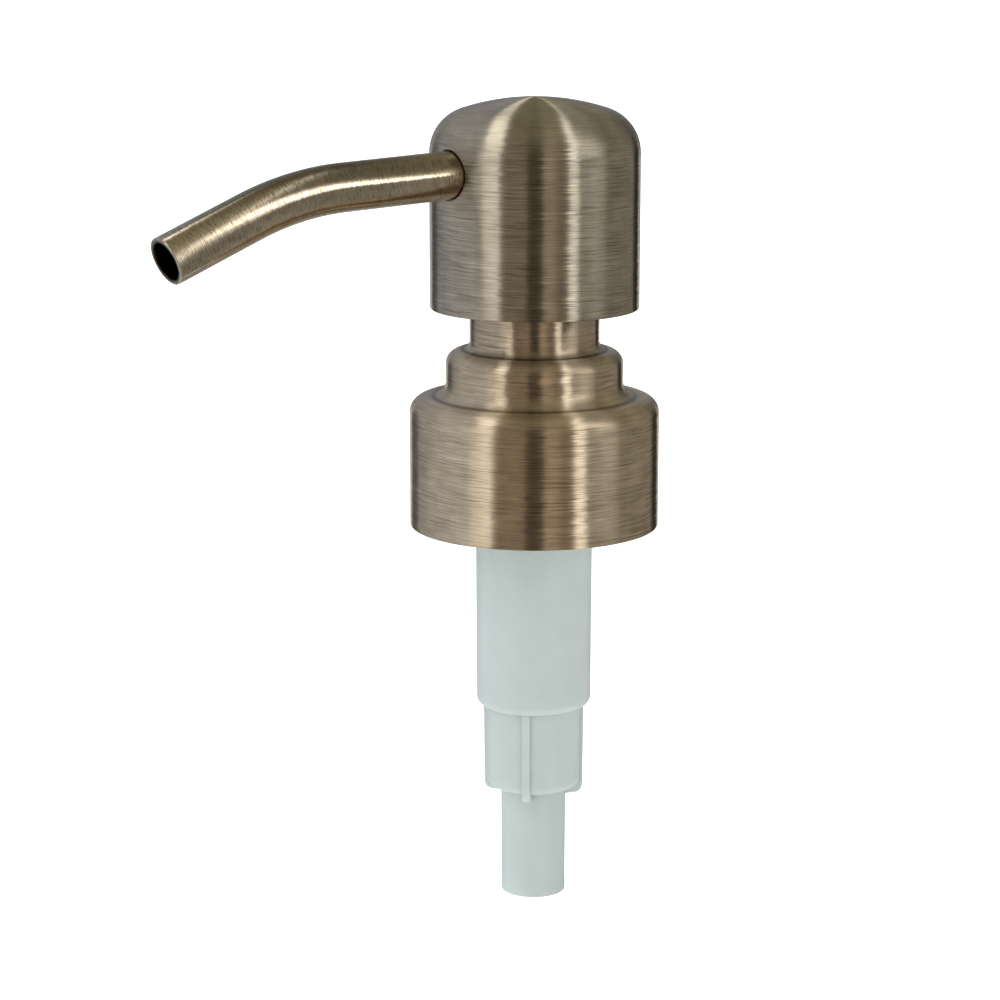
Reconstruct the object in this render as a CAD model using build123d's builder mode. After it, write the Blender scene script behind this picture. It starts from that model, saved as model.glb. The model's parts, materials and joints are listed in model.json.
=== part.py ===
"""Soap pump dispenser with a bent tube spout, for a bottle with a 28-400 screw neck.

Units are millimetres. +Z is up and the spout points along -Y. The origin is on the pump's axis, in the
plane where the underside of the neck gasket rests on the mouth of the bottle.
Each piece is drawn as (radius, height) sections turned about Z, at rest: head up, valves shut.
"""

import math
import os

from build123d import *

# ---------------------------------------------------------------- driving dimensions

# bottle neck seat: gasket, housing flange and closure web stack up from the origin
GASKET_THICK = 1.5
FLANGE_THICK = 1.3
FLANGE_R = 13.2
AXIAL_PLAY = 0.15

# spun metal collar
SHEET = 0.6
RIM_ROUND = 0.4
RIM_TO_INSERT = 0.6
COLLAR_R = 16.5
COLLAR_RIM_Z = -12.0
SKIRT_TOP_Z = 5.3
STEP_R = 11.7
STEP_TOP_Z = 11.5
NECK_R = 8.55
NECK_TOP_Z = 19.8
SKIRT_CORNER = 2.1
STEP_FILLET = 2.1
STEP_CORNER = 1.85
NECK_FILLET = 1.2

# closure insert and its internal thread (six turns to the inch)
CLOSURE_BORE_R = 14.0
THREAD_PITCH = 25.4 / 6
THREAD_CREST_R = 12.95
THREAD_TURNS = 1.5
THREAD_BASE_WIDTH = 2.2
THREAD_CREST_WIDTH = 0.9
THREAD_START_ABOVE_RIM = 1.9
THREAD_ROOT_BURIED = 0.4
WEB_RING_GAP = 0.2

# pump head
HEAD_R = 13.75
HEAD_RIM_Z = 17.0
HEAD_TOP_Z = 44.5
HEAD_CROWN_R = 31.3
HEAD_CORNER_R = 6.0
STROKE = 11.0

# spout tube: it leaves the head nearly level, then bends down
SPOUT_R = 3.1
SPOUT_WALL = 0.65
SPOUT_Z = 35.6
SPOUT_DROOP = 2.2
SPOUT_TIP_DROOP = 21.5
SPOUT_BEND_START = 29.5
SPOUT_BEND_R = 41.6
SPOUT_REACH = 54.7
SPOUT_ROOT = 4.2
SPOUT_HOLE_GAP = 0.2
SPOUT_HOLE_START = HEAD_R - 4.0
SPOUT_HOLE_DEPTH = 6.0
SPOUT_TIP_ROUND = 0.15

# stem and its valve plug
STEM_R = 3.48
STEM_BORE_R = 2.2
STEM_TOP_Z = 30.0
STEM_CHAMFER = 0.5
PLUG_SHANK_R = 2.9
PLUG_BORE_R = 1.3
PLUG_HEAD_R = 5.0
PLUG_HEAD_THICK = 1.6
PLUG_SPIGOT_HEIGHT = 5.3
PLUG_LEAD = 0.6
PLUG_LEAD_IN = 0.3
PLUG_BOSS_R = 3.3
PLUG_BOSS_HEIGHT = 2.6
PLUG_BOSS_CHAMFER = 0.7
PLUG_WINDOW_WIDTH = 1.5

# piston
PISTON_LIP_R = 6.68
PISTON_HEIGHT = 7.0
PISTON_LOST_MOTION = 1.5
PISTON_HUB_WALL = 1.3
PISTON_SKIRT_WALL = 0.8
PISTON_LIP = 0.3
PISTON_LIP_EDGE = 0.25
PISTON_LIP_HEIGHT = 1.4
PISTON_WEB_FOOT = 2.6
PISTON_WEB_THICK = 1.6

# housing: three barrels, each a little narrower at its foot
BORE_R = 6.7
UPPER_R_TOP = 7.84
UPPER_R_FOOT = 7.66
UPPER_FOOT_Z = -36.8
MIDDLE_R_TOP = 6.45
MIDDLE_R_FOOT = 6.35
MIDDLE_BORE_R = 5.5
MIDDLE_FOOT_Z = -48.2
BORE_STEP_CONE = 1.1
TAIL_R_TOP = 4.37
TAIL_R_FOOT = 4.29
TAIL_FOOT_Z = -63.1
SOCKET_R = 3.45
SOCKET_DEPTH = 12.5
RIB_COUNT = 4
RIB_THICK = 0.95
RIB_R_TOP = 6.76
RIB_R_FOOT = 6.63
RIB_BELOW_FOOT = 0.75
RIB_FOOT_ROUND = 1.0
RIB_FOOT_SLOPE = 0.4
FLOOR_THICK = 1.2
VENT_R = 0.5
VENT_ABOVE_RIM = 0.8
BARREL_FOOT_ROUND = 1.15

# ball valve and spring
BALL_R = 2.4
BALL_LIFT = 1.5
CAGE_BORE_R = 2.75
CAGE_R = 3.5
CAGE_BASE_THICK = 1.5
CAGE_CAP_THICK = 1.0
CAGE_CAP_GAP = 0.25
CAGE_HOLE_R = 1.1
CAGE_CHAMFER = 0.4
CAGE_WINDOWS = 3
CAGE_WINDOW_DEPTH = 3.0
CAGE_WINDOW_WIDTH = 2.0
CAGE_WINDOW_EDGE = 0.4
SPRING_WIRE_R = 0.45
SPRING_MEAN_R = 4.15
SPRING_TURNS = 10

# seals at the neck
GASKET_MARGIN = 0.2
GASKET_BORE_GAP = 0.1
WIPER_THICK = 1.5
WIPER_LIP = 0.45
WIPER_FLANGE_STEP = 0.4
WIPER_FOOT_CONE = 0.55

# small gaps
RUNNING = 0.05
TOUCH = 0.02
BURIED = 0.3
GUIDE_GAP = 0.2

# ---------------------------------------------------------------- heights and radii worked out

FLANGE_TOP_Z = GASKET_THICK + FLANGE_THICK
WEB_BOTTOM_Z = FLANGE_TOP_Z + AXIAL_PLAY
WEB_TOP_Z = SKIRT_TOP_Z - SHEET
CHAPLET_FLANGE_Z = WEB_TOP_Z + AXIAL_PLAY
SPIGOT_R = 8.9
SPIGOT_TOP_Z = FLANGE_TOP_Z + 1.5
CHAPLET_RING_R = 9.6
CHAPLET_R = STEP_R - SHEET - GUIDE_GAP
CHAPLET_RIM_TOP_Z = STEP_TOP_Z - STEP_CORNER - 0.35
CHAPLET_TUBE_R = NECK_R - SHEET - 0.1
CHAPLET_TUBE_BORE_R = 6.6
CHAPLET_TUBE_TOP_Z = NECK_TOP_Z - 0.6
CHAPLET_FLOOR_TOP_Z = SPIGOT_TOP_Z + 1.6
CHAPLET_RIM_WALL = 1.1
CHAPLET_RIBS = 8
CHAPLET_RIB_THICK = 0.8
CHAPLET_RIB_OVERLAP = 0.1
CHAPLET_RIB_BELOW_RIM = 0.6
SLEEVE_BORE_R = 5.2
SLEEVE_FOOT_Z = -6.5
WIPER_TOP_Z = CHAPLET_FLOOR_TOP_Z + WIPER_THICK
BOSS_R = 5.9
BOSS_FOOT_Z = WIPER_TOP_Z + STROKE + 0.4

PISTON_TOP_Z = SLEEVE_FOOT_Z - PISTON_LOST_MOTION - 0.3
PISTON_FOOT_Z = PISTON_TOP_Z - PISTON_HEIGHT
STEM_FOOT_Z = PISTON_TOP_Z + PISTON_LOST_MOTION + RUNNING
PLUG_HEAD_TOP_Z = PISTON_FOOT_Z - RUNNING
PLUG_HEAD_FOOT_Z = PLUG_HEAD_TOP_Z - PLUG_HEAD_THICK
PLUG_SHOULDER_Z = STEM_FOOT_Z - RUNNING
PLUG_TOP_Z = PLUG_SHOULDER_Z + PLUG_SPIGOT_HEIGHT
PLUG_FOOT_Z = PLUG_HEAD_FOOT_Z - PLUG_BOSS_HEIGHT

MIDDLE_FLOOR_Z = MIDDLE_FOOT_Z + FLOOR_THICK
SEAT_CONE_DEPTH = 1.0
PASSAGE_R = 1.6
SOCKET_TOP_Z = TAIL_FOOT_Z + SOCKET_DEPTH
BALL_CONTACT_R = BALL_R * math.cos(math.radians(45))
BALL_Z = MIDDLE_FLOOR_Z - SEAT_CONE_DEPTH + (BALL_CONTACT_R - PASSAGE_R) + BALL_CONTACT_R + 2 * TOUCH
CAGE_BASE_TOP_Z = MIDDLE_FLOOR_Z + CAGE_BASE_THICK
CAGE_CAP_Z = BALL_Z + BALL_R + BALL_LIFT + CAGE_CAP_GAP
CAGE_TOP_Z = CAGE_CAP_Z + CAGE_CAP_THICK

CORE_R = HEAD_R - SHEET - RUNNING
CORE_WALL = 1.2
CORE_FOOT_Z = HEAD_RIM_Z + 1.5
CORE_SHOULDER_Z = 37.0
CORE_TOP_Z = 41.0
CORE_TOP_R = 10.4
CORE_WEB = 1.4
CORE_RIB_THICK = 1.2
CORE_RIB_INSET = 0.5
CROSS_BOSS_SHORT = 0.75
CROSS_BOSS_R = SPOUT_R + 0.9
GLAND_BOSS_R = 4.9
GLAND_BOSS_REACH = 7.0
O_RING_SECTION_R = 0.5
O_RING_REACH = 5.8
GLAND_WIDTH = 1.3

# the spout's inner run: a plane across it on the pump's axis, its normal along the tube
droop = math.radians(SPOUT_DROOP)
tip_droop = math.radians(SPOUT_TIP_DROOP)
spout_plane = Plane(
    origin=(0, 0, SPOUT_Z),
    x_dir=(1, 0, 0),
    z_dir=(0, -math.cos(droop), -math.sin(droop)),
)


def radial_plane(turn):
    """Half-plane through Z, turned this many degrees from +X: x is the radius, y the height."""
    angle = math.radians(turn)
    return Plane(
        origin=(0, 0, 0),
        x_dir=(math.cos(angle), math.sin(angle), 0),
        z_dir=(math.sin(angle), -math.cos(angle), 0),
    )


os.makedirs("parts", exist_ok=True)

# ---------------------------------------------------------------- housing

# Moulded pump body: flange on the bottle's mouth, piston barrel, ball valve seat and dip tube socket.
with BuildPart() as housing:
    with BuildSketch(Plane.XZ):
        with BuildLine():
            Polyline(
                (PASSAGE_R, SOCKET_TOP_Z),
                (SOCKET_R, SOCKET_TOP_Z),
                (SOCKET_R, TAIL_FOOT_Z),
                (TAIL_R_FOOT, TAIL_FOOT_Z),
                (TAIL_R_TOP, MIDDLE_FOOT_Z),
                (MIDDLE_R_FOOT, MIDDLE_FOOT_Z),
                (MIDDLE_R_TOP, UPPER_FOOT_Z),
                (UPPER_R_FOOT, UPPER_FOOT_Z),
                (UPPER_R_TOP, GASKET_THICK),
                (FLANGE_R, GASKET_THICK),
                (FLANGE_R, FLANGE_TOP_Z),
                (SPIGOT_R, FLANGE_TOP_Z),
                (SPIGOT_R, SPIGOT_TOP_Z),
                (BORE_R, SPIGOT_TOP_Z),
                (BORE_R, UPPER_FOOT_Z + FLOOR_THICK + BORE_STEP_CONE),
                (MIDDLE_BORE_R, UPPER_FOOT_Z + FLOOR_THICK),
                (MIDDLE_BORE_R, MIDDLE_FLOOR_Z),
                (PASSAGE_R + SEAT_CONE_DEPTH, MIDDLE_FLOOR_Z),
                (PASSAGE_R, MIDDLE_FLOOR_Z - SEAT_CONE_DEPTH),
                close=True,
            )
        make_face()
    revolve(axis=Axis.Z)
    rounded_feet = [
        edge
        for edge in housing.edges().filter_by(GeomType.CIRCLE)
        if abs(edge.radius - UPPER_R_FOOT) < 1e-6 or abs(edge.radius - MIDDLE_R_FOOT) < 1e-6
    ]
    fillet(rounded_feet, radius=BARREL_FOOT_ROUND)
    # ribs run down the middle barrel and end as gussets on the tail
    for index in range(RIB_COUNT):
        with BuildSketch(radial_plane(45 + index * 360 / RIB_COUNT)):
            with BuildLine():
                FilletPolyline(
                    (TAIL_R_TOP - BURIED, MIDDLE_FLOOR_Z - BURIED),
                    (MIDDLE_R_FOOT - BURIED, MIDDLE_FLOOR_Z - BURIED),
                    (MIDDLE_R_TOP - BURIED, UPPER_FOOT_Z + BURIED),
                    (RIB_R_TOP, UPPER_FOOT_Z + BURIED),
                    (RIB_R_FOOT, MIDDLE_FOOT_Z - RIB_BELOW_FOOT),
                    (TAIL_R_TOP - BURIED, MIDDLE_FOOT_Z - RIB_BELOW_FOOT - RIB_FOOT_SLOPE),
                    radius=[0, 0, 0, 0, RIB_FOOT_ROUND, 0],
                    close=True,
                )
            make_face()
        extrude(amount=RIB_THICK / 2, both=True)
    with BuildSketch(Plane.XZ.offset(-FLANGE_R)):
        with Locations((0, COLLAR_RIM_Z + VENT_ABOVE_RIM)):
            Circle(VENT_R)
    extrude(amount=FLANGE_R, mode=Mode.SUBTRACT)
housing.part.label = "housing"
export_step(housing.part, "parts/housing.step")

# ---------------------------------------------------------------- chaplet

# Snap-on guide above the housing: holds the collar's web, stops the piston and guides the stem.
with BuildPart() as chaplet:
    with BuildSketch(Plane.XZ):
        with BuildLine():
            Polyline(
                (SLEEVE_BORE_R, SLEEVE_FOOT_Z),
                (BORE_R - TOUCH, SLEEVE_FOOT_Z),
                (BORE_R - TOUCH, SPIGOT_TOP_Z),
                (SPIGOT_R + TOUCH, SPIGOT_TOP_Z),
                (SPIGOT_R + TOUCH, FLANGE_TOP_Z),
                (CHAPLET_RING_R, FLANGE_TOP_Z),
                (CHAPLET_RING_R, CHAPLET_FLANGE_Z),
                (CHAPLET_R, CHAPLET_FLANGE_Z),
                (CHAPLET_R, CHAPLET_RIM_TOP_Z),
                (CHAPLET_R - CHAPLET_RIM_WALL, CHAPLET_RIM_TOP_Z),
                (CHAPLET_R - CHAPLET_RIM_WALL, CHAPLET_FLOOR_TOP_Z),
                (CHAPLET_TUBE_R, CHAPLET_FLOOR_TOP_Z),
                (CHAPLET_TUBE_R, CHAPLET_TUBE_TOP_Z),
                (CHAPLET_TUBE_BORE_R, CHAPLET_TUBE_TOP_Z),
                (CHAPLET_TUBE_BORE_R, CHAPLET_FLOOR_TOP_Z),
                (STEM_R + GUIDE_GAP, CHAPLET_FLOOR_TOP_Z),
                (STEM_R + GUIDE_GAP, SPIGOT_TOP_Z),
                (SLEEVE_BORE_R, SPIGOT_TOP_Z),
                close=True,
            )
        make_face()
    revolve(axis=Axis.Z)
    # stiffening ribs between the neck tube and the outer rim
    with BuildSketch(Plane.XY.offset(CHAPLET_FLOOR_TOP_Z)):
        with PolarLocations((CHAPLET_TUBE_R + CHAPLET_R - CHAPLET_RIM_WALL) / 2, CHAPLET_RIBS):
            Rectangle(
                CHAPLET_R - CHAPLET_TUBE_R - CHAPLET_RIM_WALL + 2 * CHAPLET_RIB_OVERLAP,
                CHAPLET_RIB_THICK,
            )
    extrude(amount=CHAPLET_RIM_TOP_Z - CHAPLET_FLOOR_TOP_Z - CHAPLET_RIB_BELOW_RIM)
chaplet.part.label = "chaplet"
export_step(chaplet.part, "parts/chaplet.step")

# ---------------------------------------------------------------- seals at the neck

# Flat foam gasket between the housing's flange and the bottle's mouth.
with BuildPart() as neck_gasket:
    with BuildSketch(Plane.XY):
        Circle(FLANGE_R + GASKET_MARGIN)
        Circle(UPPER_R_TOP + GASKET_BORE_GAP, mode=Mode.SUBTRACT)
    extrude(amount=GASKET_THICK)
neck_gasket.part.label = "neck_gasket"
export_step(neck_gasket.part, "parts/neck_gasket.step")

# Soft ring on the chaplet's floor that wipes the stem.
with BuildPart() as stem_wiper:
    with BuildSketch(Plane.XZ):
        with BuildLine():
            Polyline(
                (STEM_R + RUNNING, CHAPLET_FLOOR_TOP_Z + WIPER_FOOT_CONE),
                (STEM_R + WIPER_LIP, CHAPLET_FLOOR_TOP_Z),
                (CHAPLET_TUBE_BORE_R - TOUCH, CHAPLET_FLOOR_TOP_Z),
                (CHAPLET_TUBE_BORE_R - TOUCH, WIPER_TOP_Z - WIPER_FLANGE_STEP),
                (STEM_R + 2 * WIPER_LIP, WIPER_TOP_Z - WIPER_FLANGE_STEP),
                (STEM_R + WIPER_LIP, WIPER_TOP_Z),
                (STEM_R + RUNNING, WIPER_TOP_Z),
                close=True,
            )
        make_face()
    revolve(axis=Axis.Z)
stem_wiper.part.label = "stem_wiper"
export_step(stem_wiper.part, "parts/stem_wiper.step")

# ---------------------------------------------------------------- collar

# Spun sheet collar: skirt, step and neck in one wall of even thickness.
with BuildPart() as collar_shell:
    with BuildSketch(Plane.XZ):
        with BuildLine():
            FilletPolyline(
                (COLLAR_R, COLLAR_RIM_Z),
                (COLLAR_R, SKIRT_TOP_Z),
                (STEP_R, SKIRT_TOP_Z),
                (STEP_R, STEP_TOP_Z),
                (NECK_R, STEP_TOP_Z),
                (NECK_R, NECK_TOP_Z),
                radius=[SKIRT_CORNER, STEP_FILLET, STEP_CORNER, NECK_FILLET],
            )
            Line((NECK_R, NECK_TOP_Z), (NECK_R - SHEET, NECK_TOP_Z))
            FilletPolyline(
                (NECK_R - SHEET, NECK_TOP_Z),
                (NECK_R - SHEET, STEP_TOP_Z - SHEET),
                (STEP_R - SHEET, STEP_TOP_Z - SHEET),
                (STEP_R - SHEET, SKIRT_TOP_Z - SHEET),
                (COLLAR_R - SHEET, SKIRT_TOP_Z - SHEET),
                (COLLAR_R - SHEET, COLLAR_RIM_Z),
                radius=[
                    NECK_FILLET + SHEET,
                    STEP_CORNER - SHEET,
                    STEP_FILLET + SHEET,
                    SKIRT_CORNER - SHEET,
                ],
            )
            Line((COLLAR_R - SHEET, COLLAR_RIM_Z), (COLLAR_R, COLLAR_RIM_Z))
        make_face()
    revolve(axis=Axis.Z)
    rim = collar_shell.edges().group_by(Axis.Z)[0].sort_by(SortBy.LENGTH)[-1]
    fillet(rim, radius=RIM_ROUND)
collar_shell.part.label = "collar_shell"
export_step(collar_shell.part, "parts/collar_shell.step")

# Threaded closure pressed into the collar; its web turns freely between flange and chaplet.
closure_r = COLLAR_R - SHEET - TOUCH
closure_foot_z = COLLAR_RIM_Z + RIM_TO_INSERT
thread_start_z = COLLAR_RIM_Z + THREAD_START_ABOVE_RIM
with BuildPart() as closure_insert:
    with BuildSketch(Plane.XZ):
        with BuildLine():
            Polyline(
                (closure_r, closure_foot_z),
                (closure_r, WEB_TOP_Z),
                (CHAPLET_RING_R + WEB_RING_GAP, WEB_TOP_Z),
                (CHAPLET_RING_R + WEB_RING_GAP, WEB_BOTTOM_Z),
                (CLOSURE_BORE_R, WEB_BOTTOM_Z),
                (CLOSURE_BORE_R, closure_foot_z),
                close=True,
            )
        make_face()
    revolve(axis=Axis.Z)
    top_edge = closure_insert.edges().group_by(Axis.Z)[-1].sort_by(SortBy.LENGTH)[-1]
    fillet(top_edge, radius=SKIRT_CORNER - SHEET + 2 * RUNNING)
    thread_path = Helix(
        pitch=THREAD_PITCH,
        height=THREAD_PITCH * THREAD_TURNS,
        radius=CLOSURE_BORE_R,
        center=(0, 0, thread_start_z),
        mode=Mode.PRIVATE,
    )
    with BuildSketch(
        Plane(origin=thread_path @ 0, x_dir=(-1, 0, 0), z_dir=thread_path % 0)
    ):
        with BuildLine():
            Polyline(
                (-THREAD_ROOT_BURIED, -THREAD_BASE_WIDTH / 2),
                (CLOSURE_BORE_R - THREAD_CREST_R, -THREAD_CREST_WIDTH / 2),
                (CLOSURE_BORE_R - THREAD_CREST_R, THREAD_CREST_WIDTH / 2),
                (-THREAD_ROOT_BURIED, THREAD_BASE_WIDTH / 2),
                close=True,
            )
        make_face()
    sweep(path=thread_path, is_frenet=True)
closure_insert.part.label = "closure_insert"
export_step(closure_insert.part, "parts/closure_insert.step")

# ---------------------------------------------------------------- head

# Drawn metal cap with a crowned top and a hole for the spout.
corner_r = HEAD_R - HEAD_CORNER_R
crown_centre_z = HEAD_TOP_Z - HEAD_CROWN_R
corner_centre_z = crown_centre_z + math.sqrt((HEAD_CROWN_R - HEAD_CORNER_R) ** 2 - corner_r**2)


def crown_point(crown_r):
    """Where a crown arc of this radius meets its corner arc, as (radius, height)."""
    share = crown_r / (HEAD_CROWN_R - HEAD_CORNER_R)
    return (corner_r * share, crown_centre_z + (corner_centre_z - crown_centre_z) * share)


outer_crown = crown_point(HEAD_CROWN_R)
inner_crown = crown_point(HEAD_CROWN_R - SHEET)
with BuildPart() as head_shell:
    with BuildSketch(Plane.XZ):
        with BuildLine():
            Line((HEAD_R, HEAD_RIM_Z), (HEAD_R, corner_centre_z))
            RadiusArc((HEAD_R, corner_centre_z), outer_crown, -HEAD_CORNER_R)
            RadiusArc(outer_crown, (0, HEAD_TOP_Z), -HEAD_CROWN_R)
            Line((0, HEAD_TOP_Z), (0, HEAD_TOP_Z - SHEET))
            RadiusArc((0, HEAD_TOP_Z - SHEET), inner_crown, HEAD_CROWN_R - SHEET)
            RadiusArc(inner_crown, (HEAD_R - SHEET, corner_centre_z), HEAD_CORNER_R - SHEET)
            Line((HEAD_R - SHEET, corner_centre_z), (HEAD_R - SHEET, HEAD_RIM_Z))
            Line((HEAD_R - SHEET, HEAD_RIM_Z), (HEAD_R, HEAD_RIM_Z))
        make_face()
    revolve(axis=Axis.Z)
    rim = head_shell.edges().group_by(Axis.Z)[0].sort_by(SortBy.LENGTH)[-1]
    fillet(rim, radius=RIM_ROUND)
    with BuildSketch(spout_plane.offset(SPOUT_HOLE_START)):
        Circle(SPOUT_R + SPOUT_HOLE_GAP)
    extrude(amount=SPOUT_HOLE_DEPTH, mode=Mode.SUBTRACT)
head_shell.part.label = "head_shell"
export_step(head_shell.part, "parts/head_shell.step")

# Moulded insert inside the cap: stem socket, cross channel to the spout, and stiffening ribs.
with BuildPart() as head_core:
    with BuildSketch(Plane.XZ):
        with BuildLine():
            Polyline(
                (0, CORE_TOP_Z),
                (CORE_TOP_R, CORE_TOP_Z),
                (CORE_R, CORE_SHOULDER_Z),
                (CORE_R, CORE_FOOT_Z),
                (CORE_R - CORE_WALL, CORE_FOOT_Z),
                (CORE_R - CORE_WALL, CORE_SHOULDER_Z),
                (CORE_TOP_R - CORE_WALL, CORE_TOP_Z - CORE_WEB),
                (BOSS_R, CORE_TOP_Z - CORE_WEB),
                (BOSS_R, BOSS_FOOT_Z),
                (0, BOSS_FOOT_Z),
                close=True,
            )
        make_face()
    revolve(axis=Axis.Z)
    with BuildSketch(spout_plane):
        Circle(CROSS_BOSS_R)
    extrude(amount=CORE_R - CROSS_BOSS_SHORT)
    with BuildSketch(spout_plane):
        Circle(GLAND_BOSS_R)
    extrude(amount=GLAND_BOSS_REACH)
    for turn in (0, 90, 180):
        with BuildSketch(radial_plane(turn)):
            with BuildLine():
                Polyline(
                    (BOSS_R - BURIED, CORE_TOP_Z - CORE_WEB + BURIED),
                    (BOSS_R - BURIED, SPOUT_Z - CROSS_BOSS_R),
                    (CORE_R - CORE_RIB_INSET, SPOUT_Z - CROSS_BOSS_R),
                    (CORE_R - CORE_RIB_INSET, CORE_SHOULDER_Z),
                    (CORE_TOP_R - CORE_RIB_INSET, CORE_TOP_Z - CORE_WEB + BURIED),
                    close=True,
                )
            make_face()
        extrude(amount=CORE_RIB_THICK / 2, both=True)
    # stem socket and riser
    with BuildSketch(Plane.XY.offset(BOSS_FOOT_Z)):
        Circle(STEM_R + TOUCH)
    extrude(amount=STEM_TOP_Z - BOSS_FOOT_Z, mode=Mode.SUBTRACT)
    with BuildSketch(Plane.XY.offset(STEM_TOP_Z)):
        Circle(STEM_BORE_R)
    extrude(amount=SPOUT_Z - STEM_TOP_Z, mode=Mode.SUBTRACT)
    # cross channel, spout socket and the O-ring's gland
    with BuildSketch(spout_plane):
        Circle(SPOUT_R - SPOUT_WALL)
    extrude(amount=SPOUT_ROOT, mode=Mode.SUBTRACT)
    with BuildSketch(spout_plane.offset(SPOUT_ROOT - TOUCH)):
        Circle(SPOUT_R + TOUCH)
    extrude(amount=HEAD_R, mode=Mode.SUBTRACT)
    with BuildSketch(spout_plane.offset(O_RING_REACH - GLAND_WIDTH / 2)):
        Circle(SPOUT_R + 2 * O_RING_SECTION_R)
    extrude(amount=GLAND_WIDTH, mode=Mode.SUBTRACT)
head_core.part.label = "head_core"
export_step(head_core.part, "parts/head_core.step")

# ---------------------------------------------------------------- spout

# Bent tube: a nearly level run, one bend downwards, and a straight run to its square-cut tip.
bend_start = spout_plane.origin + spout_plane.z_dir * (SPOUT_BEND_START / math.cos(droop))
tip_direction = Vector(0, -math.cos(tip_droop), -math.sin(tip_droop))
bend_reach = SPOUT_BEND_START + SPOUT_BEND_R * (math.sin(tip_droop) - math.sin(droop))
tip_run = (SPOUT_REACH - bend_reach) / math.cos(tip_droop)
with BuildPart() as spout_tube:
    with BuildLine() as spout_line:
        root_run = Line(spout_plane.origin + spout_plane.z_dir * SPOUT_ROOT, bend_start)
        bend = TangentArc(
            bend_start,
            bend_start
            + Vector(
                0,
                -SPOUT_BEND_R * (math.sin(tip_droop) - math.sin(droop)),
                -SPOUT_BEND_R * (math.cos(droop) - math.cos(tip_droop)),
            ),
            tangent=root_run % 1,
        )
        Line(bend @ 1, bend @ 1 + tip_direction * tip_run)
    with BuildSketch(Plane(origin=spout_line.line @ 0, x_dir=(1, 0, 0), z_dir=spout_line.line % 0)):
        Circle(SPOUT_R)
        Circle(SPOUT_R - SPOUT_WALL, mode=Mode.SUBTRACT)
    sweep()
    tip_edges = spout_tube.edges().filter_by(GeomType.CIRCLE).group_by(Axis.Y)[0]
    fillet(tip_edges, radius=SPOUT_TIP_ROUND)
spout_tube.part.label = "spout_tube"
export_step(spout_tube.part, "parts/spout_tube.step")

# O-ring that seals the tube in its gland.
with BuildPart() as spout_o_ring:
    with BuildSketch(Plane.YZ):
        with Locations((0, SPOUT_R + O_RING_SECTION_R)):
            Circle(O_RING_SECTION_R)
    revolve(axis=Axis.Y)
o_ring_place = spout_plane.offset(O_RING_REACH)
spout_o_ring.part = spout_o_ring.part.moved(
    Location(o_ring_place.origin, (SPOUT_DROOP, 0, 0))
)
spout_o_ring.part.label = "spout_o_ring"
export_step(spout_o_ring.part, "parts/spout_o_ring.step")

# ---------------------------------------------------------------- stem, plug and piston

# Hollow stem between the head and the plug, chamfered where it enters the socket.
with BuildPart() as stem:
    with BuildSketch(Plane.XZ):
        with BuildLine():
            Polyline(
                (STEM_BORE_R, STEM_FOOT_Z),
                (STEM_R, STEM_FOOT_Z),
                (STEM_R, STEM_TOP_Z - STEM_CHAMFER),
                (STEM_R - STEM_CHAMFER, STEM_TOP_Z),
                (STEM_BORE_R, STEM_TOP_Z),
                close=True,
            )
        make_face()
    revolve(axis=Axis.Z)
stem.part.label = "stem"
export_step(stem.part, "parts/stem.step")

# Plug at the stem's foot: the piston slides on its shank and shuts on its head.
with BuildPart() as stem_plug:
    with BuildSketch(Plane.XZ):
        with BuildLine():
            Polyline(
                (PLUG_BORE_R, PLUG_TOP_Z),
                (STEM_BORE_R - RUNNING - PLUG_LEAD_IN, PLUG_TOP_Z),
                (STEM_BORE_R - RUNNING, PLUG_TOP_Z - PLUG_LEAD),
                (STEM_BORE_R - RUNNING, PLUG_SHOULDER_Z),
                (PLUG_SHANK_R, PLUG_SHOULDER_Z),
                (PLUG_SHANK_R, PLUG_HEAD_TOP_Z),
                (PLUG_HEAD_R, PLUG_HEAD_TOP_Z),
                (PLUG_HEAD_R, PLUG_HEAD_FOOT_Z),
                (PLUG_BOSS_R, PLUG_HEAD_FOOT_Z),
                (PLUG_BOSS_R, PLUG_FOOT_Z + PLUG_BOSS_CHAMFER),
                (PLUG_BOSS_R - PLUG_BOSS_CHAMFER, PLUG_FOOT_Z),
                (0, PLUG_FOOT_Z),
                (0, PLUG_HEAD_TOP_Z),
                (PLUG_BORE_R, PLUG_HEAD_TOP_Z),
                close=True,
            )
        make_face()
    revolve(axis=Axis.Z)
    # four windows that the piston covers at rest
    with BuildSketch(Plane.XY.offset(PLUG_HEAD_TOP_Z)):
        Rectangle(2 * (PLUG_SHANK_R + BURIED), PLUG_WINDOW_WIDTH)
        Rectangle(PLUG_WINDOW_WIDTH, 2 * (PLUG_SHANK_R + BURIED))
        Circle(PLUG_BORE_R, mode=Mode.SUBTRACT)
    extrude(amount=PISTON_LOST_MOTION, mode=Mode.SUBTRACT)
stem_plug.part.label = "stem_plug"
export_step(stem_plug.part, "parts/stem_plug.step")

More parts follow.
